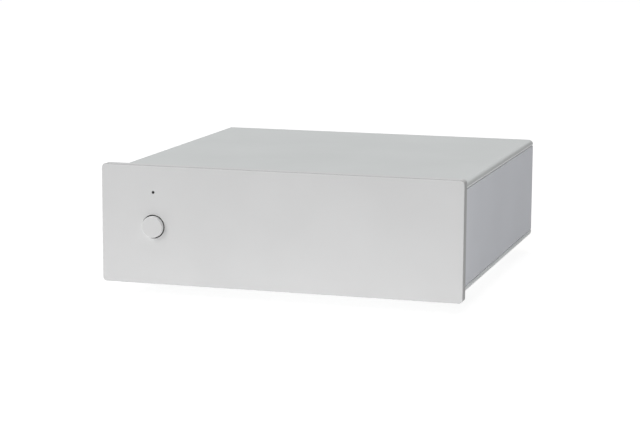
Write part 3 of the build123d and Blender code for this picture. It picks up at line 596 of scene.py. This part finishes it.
def mark(name, words, x, y, z):
    """Words printed on a face that looks down, to be read with the front panel at the top."""
    letters = bpy.data.curves.new(name, "FONT")
    letters.body = words
    letters.size = NUMERAL_HEIGHT
    letters.align_x = "CENTER"
    letters.align_y = "CENTER"
    letters.extrude = PRINT_RISE
    sample = bpy.data.objects.new(name, letters)
    mesh = bpy.data.meshes.new_from_object(sample)
    bpy.data.objects.remove(sample)
    mesh.transform(Matrix.Translation((x, y, z)) @ Matrix.Rotation(math.pi, 4, "X"))
    piece(name, mesh, "case", PRINT)


def setting_marks(side):
    """Plain numbers beside the sliders of one block, and the word for the way that they switch on."""
    low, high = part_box("setting_block_" + side)
    for number in SETTING_POSITIONS:
        x = middle("slider_" + side + "_" + str(number)).x
        mark("number_" + side + "_" + str(number), str(number), x, high.y - NUMERAL_INSET, low.z)
    x = middle("slider_" + side + "_1").x
    mark("on_" + side, "ON", x + WORD_SHIFT, low.y + NUMERAL_INSET, low.z)


INLET_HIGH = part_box("power_inlet_body")[1]
INLET_PIN = middle("power_inlet_pin")
LEAF_RADIUS = 3.15 * MM
LEAF_RISE = 0.7 * MM
LEAF_HALF_WIDTH = 0.8 * MM
LEAF_THICKNESS = 0.2 * MM
LEAF_LENGTH = 7.0 * MM
LEAF_SETBACK = 1.2 * MM
LEAF_STEPS = 12


def inlet_leaf():
    """The bowed spring contact along the bottom of the power inlet's bore."""
    left, right = INLET_PIN.x - LEAF_HALF_WIDTH, INLET_PIN.x + LEAF_HALF_WIDTH
    form = bmesh.new()
    sections = []
    for step in range(LEAF_STEPS + 1):
        share = step / LEAF_STEPS
        y = INLET_HIGH.y - LEAF_SETBACK - LEAF_LENGTH * share
        low = INLET_PIN.z - LEAF_RADIUS + LEAF_RISE * math.sin(math.pi * share) ** 2
        high = low + LEAF_THICKNESS
        sections.append([(left, y, low), (right, y, low), (right, y, high), (left, y, high)])
    tube_of_rings(form, sections)
    piece("inlet_leaf", finished_mesh("inlet_leaf", form), "case", FINISHES["gold_contact"])


SPRING_WIRE_RADIUS = 0.2 * MM
SPRING_TURNS = 3.5
SPRING_SIDES = 8
SPRING_STEPS = 84


def coil_spring():
    """The button's return spring."""
    low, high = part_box("return_spring")
    axis = middle("return_spring")
    radius = (high.x - low.x) / 2 - SPRING_WIRE_RADIUS
    start = Vector((axis.x, low.y + SPRING_WIRE_RADIUS, axis.z))
    rise = high.y - low.y - 2 * SPRING_WIRE_RADIUS
    whole_turn = 2 * math.pi * SPRING_TURNS
    slope = rise / (whole_turn * radius)
    angles = [2 * math.pi * side / SPRING_SIDES for side in range(SPRING_SIDES)]
    form = bmesh.new()
    rings = []
    for step in range(SPRING_STEPS + 1):
        share = step / SPRING_STEPS
        turn = whole_turn * share
        outward = Vector((math.cos(turn), 0, math.sin(turn)))
        centre = start + Vector((0, rise * share, 0)) + radius * outward
        along = Vector((-math.sin(turn), slope, math.cos(turn))).normalized()
        across = along.cross(outward)
        spokes = [math.cos(angle) * outward + math.sin(angle) * across for angle in angles]
        rings.append([centre + SPRING_WIRE_RADIUS * spoke for spoke in spokes])
    tube_of_rings(form, rings)
    mesh = finished_mesh("coil_spring", form)
    coil = piece("coil_spring", mesh, "case", FINISHES["spring_steel"], smooth=True)
    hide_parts("return_spring")
    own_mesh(coil)


threaded_post()
inlet_leaf()
coil_spring()
for side in SETTING_SIDES:
    setting_marks(side)


# ---------------------------------------------------------------- camera
# Fitted to the outline of the case in the photograph. The lens and the sensor are in millimetres.
CAMERA_PLACE = Vector((0.16402, PANEL_LOW.y - 0.51281, PANEL_LOW.z + 0.11071))
CAMERA_YAW = math.radians(16.53)
CAMERA_PITCH = math.radians(9.45)
CAMERA_ROLL = math.radians(0.33)
CAMERA_LENS = 113.07
SENSOR_WIDTH = 36


def make_camera():
    forward = Vector((
        -math.sin(CAMERA_YAW) * math.cos(CAMERA_PITCH),
        math.cos(CAMERA_YAW) * math.cos(CAMERA_PITCH),
        -math.sin(CAMERA_PITCH),
    ))
    level = Vector((math.cos(CAMERA_YAW), math.sin(CAMERA_YAW), 0))
    upward = level.cross(forward)
    right = math.cos(CAMERA_ROLL) * level + math.sin(CAMERA_ROLL) * upward
    up = math.cos(CAMERA_ROLL) * upward - math.sin(CAMERA_ROLL) * level
    data = bpy.data.cameras.new("camera")
    data.lens = CAMERA_LENS
    data.sensor_width = SENSOR_WIDTH
    data.clip_start = 0.01
    data.clip_end = 50
    camera = bpy.data.objects.new("camera", data)
    turned = Matrix((right, up, -forward)).transposed().to_4x4()
    camera.matrix_world = Matrix.Translation(CAMERA_PLACE) @ turned
    bpy.context.scene.collection.objects.link(camera)
    bpy.context.scene.camera = camera


# ---------------------------------------------------------------- studio
# WORLD_LEVEL and TABLE_GLOW light the object. The camera and reflections see a white world over a floor that
# glows by BACKDROP_LEVEL and shows SHADOW_SHARE of the shadows.
WORLD_LEVEL = 0.10
BACKDROP_LEVEL = 0.90
FLOOR_TONE = 0.85
SHADOW_SHARE = 0.3
TABLE_GLOW = 0.15
FRONT_GLOW = 0.45
FLOOR_SIZE = 8.0

# The strip of table in front of the panel that glows by FRONT_GLOW more: its depth, and between which shares
# of it the glow is full.
STRIP_DEPTH = 0.06
STRIP_FULL = (0.3, 0.97)

# Each lamp's place, size and power in watts.
LAMPS = {
    "key": ((-1.6, -1.6, 1.3), (1.2, 1.2), 29.5),
    "overhead": ((0.0, 0.0, 2.2), (1.4, 1.4), 21.0),
}
LAMP_AIM = Vector((0, 0, 0.02))


def seen_rays(tree):
    """1 for the rays that show the background to the camera, to metal and through glass."""
    path = tree.nodes.new("ShaderNodeLightPath")
    total = path.outputs["Is Camera Ray"]
    for name in ("Is Glossy Ray", "Is Transmission Ray"):
        node = tree.nodes.new("ShaderNodeMath")
        node.operation = "MAXIMUM"
        tree.links.new(total, node.inputs[0])
        tree.links.new(path.outputs[name], node.inputs[1])
        total = node.outputs[0]
    return total


def make_world():
    """White where it is seen, and a weak even light on the object."""
    world = bpy.data.worlds.new("studio")
    bpy.context.scene.world = world
    world.use_nodes = True
    tree = world.node_tree
    background = tree.nodes["Background"]
    level = tree.nodes.new("ShaderNodeMapRange")
    tree.links.new(seen_rays(tree), level.inputs["Value"])
    level.inputs["To Min"].default_value = WORLD_LEVEL
    level.inputs["To Max"].default_value = 1.0
    background.inputs["Color"].default_value = (1, 1, 1, 1)
    tree.links.new(level.outputs["Result"], background.inputs["Strength"])


def front_strip(tree):
    """1 on the table just in front of the panel, where the paper throws the light back up, else 0."""
    place = tree.nodes.new("ShaderNodeTexCoord")
    split = tree.nodes.new("ShaderNodeSeparateXYZ")
    tree.links.new(place.outputs["Object"], split.inputs["Vector"])
    ahead = tree.nodes.new("ShaderNodeMapRange")
    tree.links.new(split.outputs["Y"], ahead.inputs["Value"])
    ahead.inputs["From Min"].default_value = PANEL_LOW.y - STRIP_DEPTH
    ahead.inputs["From Max"].default_value = PANEL_LOW.y
    shape = tree.nodes.new("ShaderNodeValToRGB")
    tree.links.new(ahead.outputs["Result"], shape.inputs["Fac"])
    elements = shape.color_ramp.elements
    for spot in STRIP_FULL:
        elements.new(spot).color = (1, 1, 1, 1)
    elements[0].color = (0, 0, 0, 1)
    elements[-1].color = (0, 0, 0, 1)
    return shape.outputs["Color"]


def make_floor():
    """A pale table with a soft shadow. From below it is clear, so that the object's underside can be seen."""
    half = FLOOR_SIZE / 2
    mesh = bpy.data.meshes.new("floor")
    corners = [(-half, -half, 0), (half, -half, 0), (half, half, 0), (-half, half, 0)]
    mesh.from_pydata(corners, [], [(0, 1, 2, 3)])
    floor = bpy.data.objects.new("floor", mesh)
    bpy.context.scene.collection.objects.link(floor)
    material = bpy.data.materials.new("floor")
    material.use_nodes = True
    tree = material.node_tree
    tree.nodes.remove(tree.nodes["Principled BSDF"])
    seen = seen_rays(tree)
    tone = tree.nodes.new("ShaderNodeMapRange")
    tree.links.new(seen, tone.inputs["Value"])
    tone.inputs["To Min"].default_value = FLOOR_TONE
    tone.inputs["To Max"].default_value = FLOOR_TONE * SHADOW_SHARE
    matt = tree.nodes.new("ShaderNodeBsdfDiffuse")
    tree.links.new(tone.outputs["Result"], matt.inputs["Color"])
    level = tree.nodes.new("ShaderNodeMapRange")
    tree.links.new(front_strip(tree), level.inputs["Value"])
    level.inputs["To Min"].default_value = TABLE_GLOW
    level.inputs["To Max"].default_value = TABLE_GLOW + FRONT_GLOW
    strength = tree.nodes.new("ShaderNodeMapRange")
    tree.links.new(seen, strength.inputs["Value"])
    tree.links.new(level.outputs["Result"], strength.inputs["To Min"])
    strength.inputs["To Max"].default_value = BACKDROP_LEVEL
    glow = tree.nodes.new("ShaderNodeEmission")
    tree.links.new(strength.outputs["Result"], glow.inputs["Strength"])
    both = tree.nodes.new("ShaderNodeAddShader")
    tree.links.new(matt.outputs["BSDF"], both.inputs[0])
    tree.links.new(glow.outputs["Emission"], both.inputs[1])
    under = tree.nodes.new("ShaderNodeMixShader")
    tree.links.new(tree.nodes.new("ShaderNodeNewGeometry").outputs["Backfacing"], under.inputs["Fac"])
    tree.links.new(both.outputs["Shader"], under.inputs[1])
    tree.links.new(tree.nodes.new("ShaderNodeBsdfTransparent").outputs["BSDF"], under.inputs[2])
    tree.links.new(under.outputs["Shader"], tree.nodes["Material Output"].inputs["Surface"])
    mesh.materials.append(material)


def softbox(name, place, size, power):
    """A soft square lamp that points at the object."""
    light = bpy.data.lights.new(name, "AREA")
    light.shape = "RECTANGLE"
    light.size, light.size_y = size
    light.energy = power
    lamp = bpy.data.objects.new(name, light)
    lamp.location = place
    lamp.rotation_mode = "QUATERNION"
    lamp.rotation_quaternion = (LAMP_AIM - Vector(place)).to_track_quat("-Z", "Y")
    bpy.context.scene.collection.objects.link(lamp)


make_camera()
make_world()
make_floor()
for lamp_name, (place, size, power) in LAMPS.items():
    softbox(lamp_name, place, size, power)
bpy.context.scene.view_settings.view_transform = "Standard"
